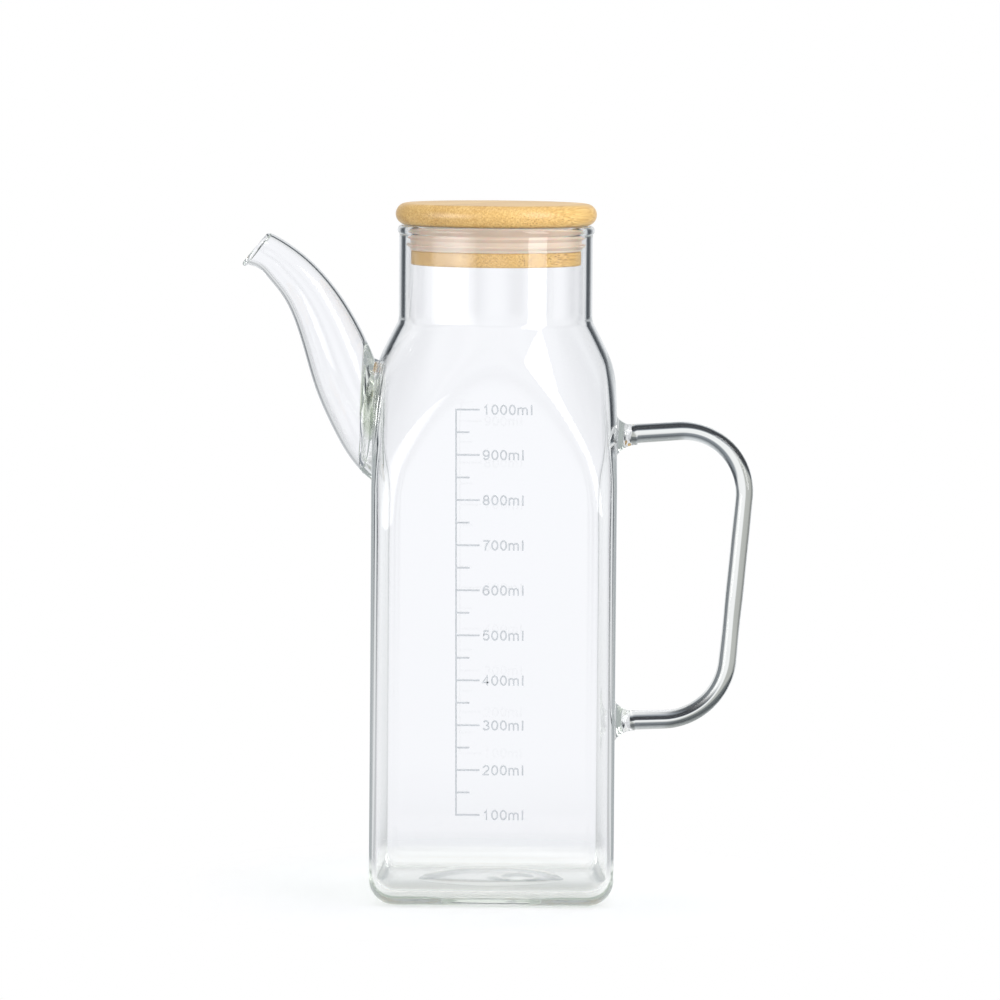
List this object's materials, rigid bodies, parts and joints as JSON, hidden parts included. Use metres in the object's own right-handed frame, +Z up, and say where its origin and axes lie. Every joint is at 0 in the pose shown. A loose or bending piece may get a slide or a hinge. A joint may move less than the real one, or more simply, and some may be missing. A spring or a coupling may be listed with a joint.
{
  "type": "glass pitcher",
  "caption": "Clear square glass pitcher with a round neck, swan-neck spout, rod handle and a bamboo lid with a silicone seal; a pale volume scale is printed on the front.",
  "frame": {"origin": "on the table under the middle of the square body; the spout and handle reach nearly equally far to the two sides, so this is also the middle of the base of the whole", "axes": "+Z up along the neck, spout towards -X, handle towards +X, the face with the scale towards -Y"},
  "size_m": [0.1794, 0.0846, 0.2412],
  "materials": {
    "clear_glass": "clear polished borosilicate glass, faint green in the thick places",
    "bamboo": "turned and sanded bamboo, satin, unstained",
    "silicone": "translucent milky silicone rubber, satin"
  },
  "bodies": {
    "root": {"glass_jug": "clear_glass", "bamboo_lid": "bamboo", "silicone_seal": "silicone"}
  },
  "joints": []
}
